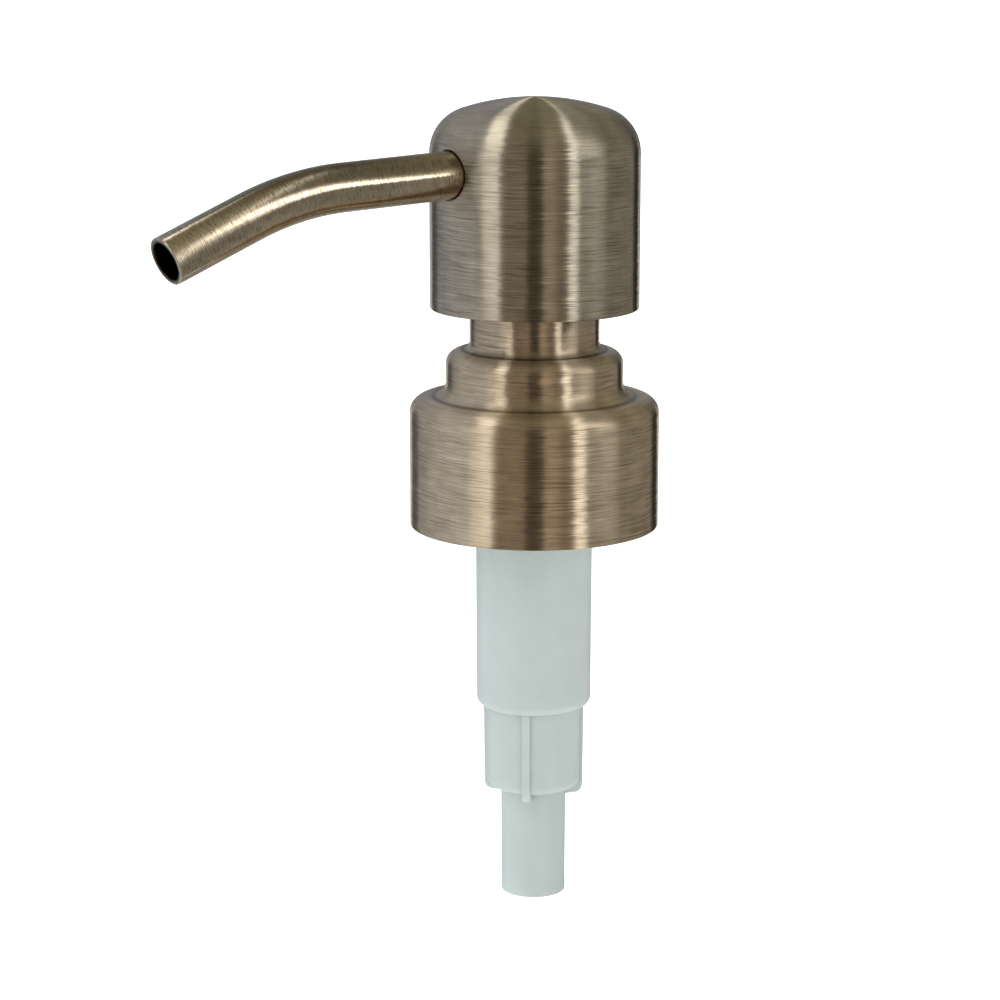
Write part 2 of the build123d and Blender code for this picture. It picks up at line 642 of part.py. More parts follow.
# Piston: a hub on the plug's shank, a web, and a skirt with a lip at each end.
hub_r = PLUG_SHANK_R + PISTON_HUB_WALL
skirt_bore_r = PISTON_LIP_R - PISTON_SKIRT_WALL
web_foot_z = PISTON_FOOT_Z + PISTON_WEB_FOOT
web_top_z = web_foot_z + PISTON_WEB_THICK
with BuildPart() as piston:
    with BuildSketch(Plane.XZ):
        with BuildLine():
            Polyline(
                (PLUG_SHANK_R + RUNNING, PISTON_FOOT_Z),
                (hub_r, PISTON_FOOT_Z),
                (hub_r, web_foot_z),
                (skirt_bore_r, web_foot_z),
                (PISTON_LIP_R - PISTON_LIP_EDGE, PISTON_FOOT_Z),
                (PISTON_LIP_R, PISTON_FOOT_Z),
                (PISTON_LIP_R - PISTON_LIP, PISTON_FOOT_Z + PISTON_LIP_HEIGHT),
                (PISTON_LIP_R - PISTON_LIP, PISTON_TOP_Z - PISTON_LIP_HEIGHT),
                (PISTON_LIP_R, PISTON_TOP_Z),
                (PISTON_LIP_R - PISTON_LIP_EDGE, PISTON_TOP_Z),
                (skirt_bore_r, web_top_z),
                (hub_r, web_top_z),
                (hub_r, PISTON_TOP_Z),
                (PLUG_SHANK_R + RUNNING, PISTON_TOP_Z),
                close=True,
            )
        make_face()
    revolve(axis=Axis.Z)
piston.part.label = "piston"
export_step(piston.part, "parts/piston.step")

# ---------------------------------------------------------------- inlet valve and spring

# Ball cage on the housing's floor; its shoulder seats the spring.
with BuildPart() as ball_cage:
    with BuildSketch(Plane.XZ):
        with BuildLine():
            Polyline(
                (CAGE_BORE_R, MIDDLE_FLOOR_Z),
                (MIDDLE_BORE_R - TOUCH, MIDDLE_FLOOR_Z),
                (MIDDLE_BORE_R - TOUCH, CAGE_BASE_TOP_Z),
                (CAGE_R, CAGE_BASE_TOP_Z),
                (CAGE_R, CAGE_TOP_Z - CAGE_CHAMFER),
                (CAGE_R - CAGE_CHAMFER, CAGE_TOP_Z),
                (CAGE_HOLE_R, CAGE_TOP_Z),
                (CAGE_HOLE_R, CAGE_CAP_Z),
                (CAGE_BORE_R, CAGE_CAP_Z),
                close=True,
            )
        make_face()
    revolve(axis=Axis.Z)
    # windows that let the soap past the ball
    with BuildSketch(Plane.XY.offset(CAGE_BASE_TOP_Z + CAGE_WINDOW_EDGE)):
        with PolarLocations(CAGE_R, CAGE_WINDOWS):
            Rectangle(CAGE_WINDOW_DEPTH, CAGE_WINDOW_WIDTH)
    extrude(amount=CAGE_CAP_Z - CAGE_BASE_TOP_Z - 2 * CAGE_WINDOW_EDGE, mode=Mode.SUBTRACT)
ball_cage.part.label = "ball_cage"
export_step(ball_cage.part, "parts/ball_cage.step")

# Steel ball resting in the cone of the housing's floor.
with BuildPart(Plane.XY.offset(BALL_Z)) as check_ball:
    Sphere(BALL_R)
check_ball.part.label = "check_ball"
export_step(check_ball.part, "parts/check_ball.step")

# Return spring from the cage's shoulder to the underside of the plug's head.
spring_foot_z = CAGE_BASE_TOP_Z + RUNNING
spring_rise = PLUG_HEAD_FOOT_Z - RUNNING - spring_foot_z - 2 * SPRING_WIRE_R
with BuildPart() as spring:
    with BuildLine():
        coil = Helix(
            pitch=spring_rise / SPRING_TURNS,
            height=spring_rise,
            radius=SPRING_MEAN_R,
            center=(0, 0, spring_foot_z + SPRING_WIRE_R),
        )
    with BuildSketch(Plane(origin=coil @ 0, x_dir=(1, 0, 0), z_dir=coil % 0)):
        Circle(SPRING_WIRE_R)
    sweep(is_frenet=True)
spring.part.label = "spring"
export_step(spring.part, "parts/spring.step")
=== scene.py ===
"""Looks of a soap pump dispenser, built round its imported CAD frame.

Lengths are metres in the frame's own axes: +Z is up the pump's axis and the spout points along -Y.
Sizes that the frame already holds are read from it; the rest are fields of the class that uses them.
"""

import json
import logging
import math
from dataclasses import dataclass
from enum import Enum
from typing import Callable, Optional, Sequence, Union

import bpy
from mathutils import Matrix, Vector


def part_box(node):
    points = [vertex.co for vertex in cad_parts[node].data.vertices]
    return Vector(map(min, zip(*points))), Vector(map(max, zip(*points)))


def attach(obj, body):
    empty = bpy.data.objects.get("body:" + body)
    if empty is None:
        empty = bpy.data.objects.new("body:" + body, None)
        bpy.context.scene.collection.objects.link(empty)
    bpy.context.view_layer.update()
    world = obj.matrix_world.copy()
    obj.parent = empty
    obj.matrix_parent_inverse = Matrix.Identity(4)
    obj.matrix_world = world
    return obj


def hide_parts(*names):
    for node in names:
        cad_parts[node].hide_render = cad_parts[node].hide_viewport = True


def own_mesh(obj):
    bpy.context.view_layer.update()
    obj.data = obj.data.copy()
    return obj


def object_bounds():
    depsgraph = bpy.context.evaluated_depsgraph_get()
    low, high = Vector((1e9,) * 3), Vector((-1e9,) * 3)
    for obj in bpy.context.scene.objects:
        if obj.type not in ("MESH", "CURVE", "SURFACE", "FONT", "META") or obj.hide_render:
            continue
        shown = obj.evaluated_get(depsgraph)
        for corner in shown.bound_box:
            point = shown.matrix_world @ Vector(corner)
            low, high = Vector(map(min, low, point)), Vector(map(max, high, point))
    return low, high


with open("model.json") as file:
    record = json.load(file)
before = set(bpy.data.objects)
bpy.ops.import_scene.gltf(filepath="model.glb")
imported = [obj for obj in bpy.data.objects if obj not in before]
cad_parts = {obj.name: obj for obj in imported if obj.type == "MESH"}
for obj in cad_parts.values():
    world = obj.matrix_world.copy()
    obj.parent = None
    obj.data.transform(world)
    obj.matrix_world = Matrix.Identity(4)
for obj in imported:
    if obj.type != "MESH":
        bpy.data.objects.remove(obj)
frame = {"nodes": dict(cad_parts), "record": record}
CAD_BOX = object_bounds()

log = logging.getLogger("soap_pump")
MM = 0.001
WELD = 0.001 * MM

Outline = list[tuple[float, float]]
Material = bpy.types.Material
Node = bpy.types.Node
Piece = bpy.types.Object
Socket = bpy.types.NodeSocket
Sockets = bpy.types.NodeOutputs
Tree = bpy.types.NodeTree
Value = Union[Socket, float, Sequence[float]]


# ---- colour and node helpers


def linear(hex_colour: str) -> tuple[float, float, float, float]:
    """Turn an sRGB hex colour into a linear RGBA value.

    Args:
        hex_colour: six hex digits after a hash sign.

    Returns:
        Linear red, green and blue with an alpha of 1.
    """
    channels = [int(hex_colour[i : i + 2], 16) / 255 for i in (1, 3, 5)]
    red, green, blue = [
        c / 12.92 if c <= 0.04045 else ((c + 0.055) / 1.055) ** 2.4 for c in channels
    ]
    return (red, green, blue, 1.0)


def add(tree: Tree, kind: str, inputs: Optional[dict] = None, **settings) -> Node:
    """Add one node with its settings, values and links.

    Args:
        tree: the node tree.
        kind: the node's type name.
        inputs: socket name or number to a value, or to an output socket to link from.
        **settings: attributes of the node itself.

    Returns:
        The new node.
    """
    node = tree.nodes.new(kind)
    for name, value in settings.items():
        setattr(node, name, value)
    for key, value in (inputs or {}).items():
        if isinstance(value, Socket):
            tree.links.new(value, node.inputs[key])
        else:
            node.inputs[key].default_value = value
    return node


def compute(tree: Tree, operation: str, *values: Value) -> Socket:
    """Work out one sum.

    Args:
        tree: the node tree.
        operation: the Math node's operation.
        *values: numbers or sockets, in the node's order.

    Returns:
        The result's socket.
    """
    return add(tree, "ShaderNodeMath", dict(enumerate(values)), operation=operation).outputs[0]


def steer(tree: Tree, operation: str, first: Value, second: Optional[Value] = None) -> Socket:
    """Work out one sum with vectors.

    Args:
        tree: the node tree.
        operation: the Vector Math node's operation.
        first: a vector or its socket.
        second: the other vector, or the factor of a SCALE.

    Returns:
        The result's socket.
    """
    inputs = {0: first}
    if second is not None:
        inputs["Scale" if operation == "SCALE" else 1] = second
    node = add(tree, "ShaderNodeVectorMath", inputs, operation=operation)
    return node.outputs["Value" if operation in ("LENGTH", "DOT_PRODUCT") else "Vector"]


def parts_of(tree: Tree, vector: Value) -> Sockets:
    """Split a vector into its X, Y and Z sockets."""
    return add(tree, "ShaderNodeSeparateXYZ", {0: vector}).outputs


def ranged(
    tree: Tree,
    value: Socket,
    start: float,
    end: float,
    low: float = 0.0,
    high: float = 1.0,
    **settings,
) -> Socket:
    """Map a value from one range to another, held at both ends.

    Args:
        tree: the node tree.
        value: the value's socket.
        start: the value that gives low.
        end: the value that gives high.
        low: the result at start.
        high: the result at end.
        **settings: attributes of the node itself.

    Returns:
        The result's socket.
    """
    limits = {"From Min": start, "From Max": end, "To Min": low, "To Max": high}
    return add(tree, "ShaderNodeMapRange", {"Value": value, **limits}, **settings).outputs[0]


def blend(tree: Tree, share: Value, first: Value, second: Value) -> Socket:
    """Blend two colours.

    Args:
        tree: the node tree.
        share: how much of the second colour, from 0 to 1.
        first: a colour or its socket.
        second: the other colour or its socket.

    Returns:
        The blended colour's socket.
    """
    inputs = {0: share, 6: first, 7: second}
    return add(tree, "ShaderNodeMix", inputs, data_type="RGBA").outputs[2]


def attribute(tree: Tree, name: str) -> Sockets:
    """Read a value that was written on a piece's points."""
    return add(tree, "ShaderNodeAttribute", attribute_name=name).outputs


def noise(tree: Tree, place: Socket, size: float, **inputs: float) -> Socket:
    """Soft random clouds.

    Args:
        tree: the node tree.
        place: Object coordinates.
        size: the clouds' size in metres.
        **inputs: other inputs of the noise node.

    Returns:
        A socket from 0 to 1.
    """
    settings = {"Vector": place, "Scale": 1 / size, **inputs}
    return add(tree, "ShaderNodeTexNoise", settings).outputs["Fac"]


def plug(tree: Tree, shader: Node, **sockets: Value) -> None:
    """Give a shader its sockets and uniform values, an underscore standing for a space."""
    for name, value in sockets.items():
        key = name.replace("_", " ")
        if isinstance(value, Socket):
            tree.links.new(value, shader.inputs[key])
        else:
            shader.inputs[key].default_value = value


def set_ramp(node: Node, stops: Sequence[tuple[float, tuple]]) -> None:
    """Give a colour ramp its stops.

    Args:
        node: a colour ramp node.
        stops: position from 0 to 1 and linear RGBA colour, in order.
    """
    elements = node.color_ramp.elements
    while len(elements) > 1:
        elements.remove(elements[-1])
    elements[0].position, elements[0].color = stops[0]
    for position, colour in stops[1:]:
        elements.new(position).color = colour


def new_material(name: str) -> tuple[Material, Tree, Node]:
    """Start a node material with a Principled shader wired to its output.

    Args:
        name: the material's name.

    Returns:
        The material, its node tree and its shader node.
    """
    material = bpy.data.materials.new(name)
    material.use_nodes = True
    tree = material.node_tree
    tree.nodes.clear()
    shader = add(tree, "ShaderNodeBsdfPrincipled")
    add(tree, "ShaderNodeOutputMaterial", {"Surface": shader.outputs["BSDF"]})
    return material, tree, shader


def object_place(tree: Tree) -> Socket:
    """Object coordinates, in metres."""
    return add(tree, "ShaderNodeTexCoord").outputs["Object"]


def relief(tree: Tree, height: Socket, strength: float, depth: float, **inputs: Value) -> Socket:
    """Bump a surface.

    Args:
        tree: the node tree.
        height: the relief's height, from 0 to 1.
        strength: how much of it shows.
        depth: how deep it is, in metres.
        **inputs: other inputs of the Bump node.

    Returns:
        The bumped normal's socket.
    """
    settings = {"Height": height, "Strength": strength, "Distance": depth, **inputs}
    return add(tree, "ShaderNodeBump", settings).outputs[0]


# ---- finishes


class Grain(Enum):
    """Which way a brush ran over a metal piece."""

    TURNED = "round the pump's axis, as on a lathe"
    TUBE = "round the tube, by its along attribute"


@dataclass(frozen=True)
class BrushedBronze:
    """Brass or bronze plate, darkened, then brushed through to a satin and lacquered.

    The eye sees soft grey-gold metal with thin dark hairlines where the tarnish stays in the deeper
    scratches. The scratches run round each piece. They spread every light across themselves so widely
    that it shows as one stripe from the foot of a wall up to the middle of the crown, with sharp sides.
    The brush bears less on rounded edges, which stay smoother. Shade is painted in as a near-black
    colour along the collar's hollows, in the spout's bore and on top of the spout's bend.
    """

    name: str
    grain: Grain
    base: str
    hairline: str
    glint: str
    # Colour of the painted shade in the collar's hollows, the spout's bore and the top of its bend.
    painted_shade: str = "#2b2117"
    pitch: float = 0.085 * MM
    length: float = 6.0 * MM
    slant: float = 0.03
    crossing_coarse: float = 1.5
    waver: float = 0.2 * MM
    waver_size: float = 3.0 * MM
    hairline_share: float = 0.62
    glint_share: float = 0.6
    cloud: float = 2.5 * MM
    cloud_share: float = 0.22
    edge_share: float = 0.35
    lean: float = 0.02
    bump: float = 0.3
    depth: float = 0.012 * MM
    roughness: float = 0.29
    bare_gain: float = 0.01
    line_gain: float = 0.07
    anisotropy: float = 1.0
    fan: float = 0.38
    fan_roughness: float = 0.39
    fan_anisotropy: float = 0.86

    # Where a noise value starts and ends to show as a hairline, a glint, a stain or a lean.
    HAIRLINE_FROM, HAIRLINE_TO = 0.49, 0.35
    GLINT_FROM, GLINT_TO = 0.52, 0.67
    STAIN_FROM, STAIN_TO = 0.35, 0.7
    LEAN_FROM, LEAN_TO = 0.3, 0.7
    # How far a turned wall tips toward level while the brush comes to bear less on it.
    EDGE_FROM, EDGE_TO = 0.15, 0.75
    # A quarter turn lays the wide lobe across the scratches.
    ACROSS = 0.25

    def across(self, tree: Tree, place: Socket) -> Socket:
        """Distance across the scratches, with a slow waver.

        Args:
            tree: the material's tree.
            place: Object coordinates.

        Returns:
            A socket with the distance in metres.
        """
        if self.grain is Grain.TURNED:
            radius = steer(tree, "LENGTH", steer(tree, "MULTIPLY", place, (1, 1, 0)))
            distance = compute(tree, "SUBTRACT", parts_of(tree, place)["Z"], radius)
        else:
            distance = attribute(tree, "along")["Fac"]
        sway = noise(tree, place, self.waver_size, Detail=1.0)
        return compute(tree, "MULTIPLY_ADD", sway, self.waver, distance)

    def scratches(
        self, tree: Tree, place: Socket, across: Socket, coarse: float, slant: float
    ) -> Socket:
        """One layer of long thin streaks.

        Args:
            tree: the material's tree.
            place: Object coordinates.
            across: distance across the scratches.
            coarse: how many times coarser than the finish's own pitch.
            slant: how steeply this layer climbs.

        Returns:
            A socket from 0 to 1.
        """
        leaning = compute(tree, "MULTIPLY_ADD", parts_of(tree, place)["X"], slant, across)
        fine = compute(tree, "MULTIPLY", leaning, 1 / (self.pitch * coarse))
        stretch = parts_of(tree, steer(tree, "SCALE", place, 1 / (self.length * coarse**0.5)))
        second = stretch["Y" if self.grain is Grain.TURNED else "Z"]
        grid = add(tree, "ShaderNodeCombineXYZ", {"X": stretch["X"], "Y": second, "Z": fine})
        return noise(tree, grid.outputs[0], 1.0, Detail=1.5, Roughness=0.55)

    def dark_lines(self, tree: Tree, fine: Socket, normal: Socket) -> Socket:
        """How much each point belongs to a dark hairline.

        Args:
            tree: the material's tree.
            fine: the fine streaks.
            normal: the surface's normal.

        Returns:
            A socket from 0 to 1.
        """
        lines = ranged(tree, fine, self.HAIRLINE_FROM, self.HAIRLINE_TO)
        if self.grain is Grain.TURNED:
            steep = compute(tree, "ABSOLUTE", parts_of(tree, normal)["Z"])
            bearing = ranged(tree, steep, self.EDGE_FROM, self.EDGE_TO, 1.0, self.edge_share)
            lines = compute(tree, "MULTIPLY", lines, bearing)
        return compute(tree, "MULTIPLY", lines, self.hairline_share)

    def colours(self, tree: Tree, place: Socket, lines: Socket, crossing: Socket) -> Socket:
        """Bare plate with glints, stains and dark hairlines, and shade painted in where the points ask
        for it.

        Args:
            tree: the material's tree.
            place: Object coordinates.
            lines: how much each point belongs to a dark hairline.
            crossing: the coarser streaks.

        Returns:
            A colour socket.
        """
        glints = ranged(tree, crossing, self.GLINT_FROM, self.GLINT_TO)
        glints = compute(tree, "MULTIPLY", glints, self.glint_share)
        clouds = noise(tree, place, self.cloud, Detail=2.0)
        stains = ranged(tree, clouds, self.STAIN_FROM, self.STAIN_TO, 0.0, self.cloud_share)
        colour = blend(tree, glints, linear(self.base), linear(self.glint))
        colour = blend(tree, stains, colour, linear(self.hairline))
        colour = blend(tree, lines, colour, linear(self.hairline))
        # Painted shade: darken toward the shade colour by each point's painted shade value.
        return blend(tree, attribute(tree, "painted_shade")["Fac"], colour, linear(self.painted_shade))

    def run(self, tree: Tree, place: Socket) -> Socket:
        """Unit vector along the scratches, which turns with the piece.

        Args:
            tree: the material's tree.
            place: Object coordinates.

        Returns:
            A socket with the vector in world space, as a shader's tangent is.
        """
        if self.grain is Grain.TURNED:
            along = steer(tree, "CROSS_PRODUCT", (0, 0, 1), place)
        else:
            along = attribute(tree, "round")["Vector"]
        spaces = {"convert_from": "OBJECT", "convert_to": "WORLD"}
        turned = add(tree, "ShaderNodeVectorTransform", {0: along}, vector_type="VECTOR", **spaces)
        return steer(tree, "NORMALIZE", turned.outputs[0])

    def build(self) -> Material:
        """Build the material and return it."""
        material, tree, shader = new_material(self.name)
        place = object_place(tree)
        normal = add(tree, "ShaderNodeNewGeometry").outputs["Normal"]
        across = self.across(tree, place)
        fine = self.scratches(tree, place, across, 1.0, self.slant)
        crossing = self.scratches(tree, place, across, self.crossing_coarse, -self.slant)
        lines = self.dark_lines(tree, fine, normal)
        colour = self.colours(tree, place, lines, crossing)
        run = self.run(tree, place)
        rough = ranged(
            tree, lines, 0.0, 1.0, self.roughness - self.bare_gain, self.roughness + self.line_gain
        )
        lean = ranged(tree, crossing, self.LEAN_FROM, self.LEAN_TO, -self.lean, self.lean)
        leaning = steer(tree, "NORMALIZE", steer(tree, "ADD", normal, steer(tree, "SCALE", run, lean)))
        bump = relief(tree, fine, self.bump, self.depth, Normal=leaning)
        plug(
            tree,
            shader,
            Base_Color=colour,
            Roughness=rough,
            Normal=bump,
            Tangent=run,
            Metallic=1.0,
            Anisotropic=self.anisotropy,
            Anisotropic_Rotation=self.ACROSS,
        )
        if self.fan:
            widest = {"Roughness": self.fan_roughness, "Anisotropy": self.fan_anisotropy}
            fan = add(tree, "ShaderNodeBsdfAnisotropic", widest, distribution="MULTI_GGX")
            plug(tree, fan, Color=colour, Normal=bump, Tangent=run)
            both = {0: self.fan, 1: shader.outputs[0], 2: fan.outputs[0]}
            mixed = add(tree, "ShaderNodeMixShader", both).outputs[0]
            tree.links.new(mixed, tree.nodes["Material Output"].inputs["Surface"])
        return material


@dataclass(frozen=True)
class MouldedPlastic:
    """Injection moulded plastic, from milky polypropylene to acetal.

    The eye sees a soft, faintly waxy skin: flow clouds a few millimetres wide, a very fine orange peel
    and a glow through thin walls.
    """

    name: str
    colour: str
    cloud: str
    roughness: float = 0.38
    glow: float = 0.25
    glow_depth: float = 2.0 * MM
    ior: float = 1.49
    cloud_size: float = 6.0 * MM
    peel_size: float = 0.35 * MM
    peel_depth: float = 0.02 * MM
    peel_bump: float = 0.12
    sheen_swing: tuple[float, float] = (-0.06, 0.08)

    # Where a noise value starts and ends to turn from the cloud's colour to the plain one.
    CLOUD_FROM, CLOUD_TO = 0.3, 0.65

    def build(self) -> Material:
        """Build the material and return it."""
        material, tree, shader = new_material(self.name)
        place = object_place(tree)
        cloud = noise(tree, place, self.cloud_size, Detail=3.0, Distortion=0.6)
        peel = noise(tree, place, self.peel_size, Detail=2.0)
        colour = add(tree, "ShaderNodeValToRGB", {0: cloud})
        stops = [(self.CLOUD_FROM, linear(self.cloud)), (self.CLOUD_TO, linear(self.colour))]
        set_ramp(colour, stops)
        glossy, dull = (self.roughness + swing for swing in self.sheen_swing)
        plug(
            tree,
            shader,
            Base_Color=colour.outputs[0],
            Roughness=ranged(tree, cloud, 0.0, 1.0, glossy, dull),
            Normal=relief(tree, peel, self.peel_bump, self.peel_depth),
            IOR=self.ior,
            Subsurface_Weight=self.glow,
            Subsurface_Radius=(1.0, 1.0, 1.0),
            Subsurface_Scale=self.glow_depth,
        )
        return material


@dataclass(frozen=True)
class SoftSeal:
    """Moulded rubber or closed-cell foam.

    The eye sees a dull skin with fine pores and slight mottling.
    """

    name: str
    colour: str
    mottle: str
    roughness: float = 0.75
    pore_size: float = 0.25 * MM
    pore_depth: float = 0.05 * MM
    pore_bump: float = 0.3
    mottle_size: float = 1.0 * MM
    sheen_swing: float = 0.1

    def build(self) -> Material:
        """Build the material and return it."""
        material, tree, shader = new_material(self.name)
        place = object_place(tree)
        pores = add(tree, "ShaderNodeTexVoronoi", {"Vector": place, "Scale": 1 / self.pore_size})
        mottle = noise(tree, place, self.mottle_size)
        height = pores.outputs["Distance"]
        glossy, dull = self.roughness - self.sheen_swing, self.roughness + self.sheen_swing
        plug(
            tree,
            shader,
            Base_Color=blend(tree, mottle, linear(self.colour), linear(self.mottle)),
            Roughness=ranged(tree, mottle, 0.0, 1.0, glossy, dull),
            Normal=relief(tree, height, self.pore_bump, self.pore_depth),
        )
        return material


@dataclass(frozen=True)
class BrightSteel:
    """Stainless steel, drawn as wire or ground as a ball.

    The eye sees cold grey metal with faint draw marks or a near mirror polish.
    """

    name: str
    colour: str
    stain: str
    roughness: float
    mark_size: float
    sheen_range: tuple[float, float] = (0.7, 1.4)

    def build(self) -> Material:
        """Build the material and return it."""
        material, tree, shader = new_material(self.name)
        place = object_place(tree)
        marks = noise(tree, place, self.mark_size, Detail=4.0)
        glossy, dull = (self.roughness * share for share in self.sheen_range)
        plug(
            tree,
            shader,
            Base_Color=blend(tree, marks, linear(self.colour), linear(self.stain)),
            Roughness=ranged(tree, marks, 0.0, 1.0, glossy, dull),
            Metallic=1.0,
        )
        return material


# ---- modelling helpers


def deselect_all() -> None:
    """Deselect every object."""
    bpy.ops.object.select_all(action="DESELECT")


def only(piece: Piece) -> None:
    """Select one object alone and make it active."""
    deselect_all()
    piece.select_set(True)
    bpy.context.view_layer.objects.active = piece


def arc(centre: tuple[float, float], radius: float, start: float, end: float, steps: int) -> Outline:
    """Points along an arc of an outline.

    Args:
        centre: the arc's centre as (radius from the axis, height).
        radius: the arc's own radius.
        start: first angle in degrees, 0 outward and 90 up.
        end: last angle in degrees.
        steps: how many straight steps stand for the arc.

    Returns:
        The points, both ends included.
    """
    angles = [math.radians(start + (end - start) * i / steps) for i in range(steps + 1)]
    return [(centre[0] + radius * math.cos(a), centre[1] + radius * math.sin(a)) for a in angles]


def rounded(corners: Sequence[tuple[float, float, float]], steps: int) -> Outline:
    """Round the corners of a closed outline.

    Args:
        corners: (radius from the axis, height, corner radius) in order round the outline.
        steps: how many straight steps stand for each rounded corner.

    Returns:
        The outline's points.
    """
    points: Outline = []
    count = len(corners)
    for index, (x, z, radius) in enumerate(corners):
        here = Vector((x, z))
        before = (Vector(corners[index - 1][:2]) - here).normalized()
        after = (Vector(corners[(index + 1) % count][:2]) - here).normalized()
        half = before.angle(after) / 2
        reach = radius / math.tan(half)
        centre = here + (before + after).normalized() * (radius / math.sin(half))
        first = here + before * reach - centre
        last = here + after * reach - centre
        sweep = first.angle_signed(last)
        for step in range(steps + 1):
            spoke = Matrix.Rotation(-sweep * step / steps, 2) @ first
            points.append((centre.x + spoke.x, centre.y + spoke.y))
    return points


def whole_mesh(operation: Callable, **settings) -> None:
    """Run one Edit Mode operation on the whole mesh."""
    bpy.ops.mesh.select_all(action="SELECT")
    operation(**settings)


def close_up(weld: float) -> None:
    """Weld what meets, turn every face outward and leave Edit Mode.

    Args:
        weld: points nearer than this become one, in metres.
    """
    whole_mesh(bpy.ops.mesh.remove_doubles, threshold=weld)
    whole_mesh(bpy.ops.mesh.normals_make_consistent, inside=False)
    bpy.ops.object.mode_set(mode="OBJECT")


def edit_points() -> None:
    """Enter Edit Mode with every point of the active object selected."""
    bpy.ops.object.mode_set(mode="EDIT")
    bpy.ops.mesh.select_mode(type="VERT")
    bpy.ops.mesh.select_all(action="SELECT")


def ring(name: str, sides: int, radius: float, centre: Vector, tilt: float) -> Piece:
    """Add a circle that will be drawn out into a tube or a wire.

    Args:
        name: the new object's name.
        sides: how many points it has.
        radius: its radius.
        centre: its centre.
        tilt: its turn about X from lying flat, in radians.

    Returns:
        The circle.
    """
    deselect_all()
    bpy.ops.mesh.primitive_circle_add(
        vertices=sides, radius=radius, location=centre, rotation=(tilt, 0, 0)
    )
    circle = bpy.context.active_object
    circle.name = circle.data.name = name
    bpy.ops.object.transform_apply(location=True, rotation=True, scale=True)
    return circle


def extrude(step: Sequence[float]) -> None:
    """Extrude what is selected by one step."""
    bpy.ops.mesh.extrude_region_move(TRANSFORM_OT_translate={"value": step})


def point_values(piece: Piece, name: str, kind: str = "FLOAT") -> bpy.types.bpy_prop_collection:
    """Add a named value to each point of a piece, and return its list."""
    return piece.data.attributes.new(name, kind, "POINT").data


def smooth(piece: Piece, sharp_edge: float = math.radians(35)) -> None:
    """Shade a piece smooth, with edges sharper than this angle left crisp."""
    only(piece)
    bpy.ops.object.shade_smooth_by_angle(angle=sharp_edge)


def lathe(name: str, outline: Outline, steps: int) -> Piece:
    """Turn a closed outline about Z, as on a lathe.

    Args:
        name: the new object's name.
        outline: (radius, height) points, the last joined to the first.
        steps: facets round the axis.

    Returns:
        The turned object, its faces outward.
    """
    deselect_all()
    bpy.ops.mesh.primitive_plane_add(size=MM)
    piece = bpy.context.active_object
    piece.name = piece.data.name = name
    edit_points()
    bpy.ops.mesh.merge(type="CENTER")
    x, z = outline[0]
    bpy.ops.transform.translate(value=(x, 0, z))
    for next_x, next_z in outline[1:] + outline[:1]:
        extrude((next_x - x, 0, next_z - z))
        x, z = next_x, next_z
    whole_mesh(bpy.ops.mesh.remove_doubles, threshold=WELD)
    whole_mesh(bpy.ops.mesh.spin, steps=steps, angle=2 * math.pi, center=(0, 0, 0), axis=(0, 0, 1))
    close_up(2 * WELD)
    return piece


def apply_modifier(piece: Piece, kind: str, **settings) -> None:
    """Add a modifier to a piece and apply it.

    Args:
        piece: the object.
        kind: the modifier's type name.
        **settings: the modifier's attributes.
    """
    only(piece)
    modifier = piece.modifiers.new(kind.title(), kind)
    for key, value in settings.items():
        setattr(modifier, key, value)
    bpy.ops.object.modifier_apply(modifier=modifier.name)


def cut(piece: Piece, tool: Piece) -> None:
    """Cut a tool out of a piece, then delete the tool."""
    apply_modifier(piece, "BOOLEAN", object=tool, operation="DIFFERENCE", solver="EXACT")
    bpy.data.objects.remove(tool)


def dress(piece: Piece, material: Material) -> None:
    """Give an object one material and nothing else."""
    piece.data.materials.clear()
    piece.data.materials.append(material)


def finish_piece(piece: Piece, body: str, material: Material, stands_for: str) -> None:
    """Dress a new piece and tie it to its body.

    Args:
        piece: the new object.
        body: the CAD body that it rides on.
        material: its finish.
        stands_for: the CAD node that it replaces.
    """
    dress(piece, material)
    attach(piece, body)
    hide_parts(stands_for)
    log.info("%s: %d faces on body %s", piece.name, len(piece.data.polygons), body)


# ---- sub-assemblies


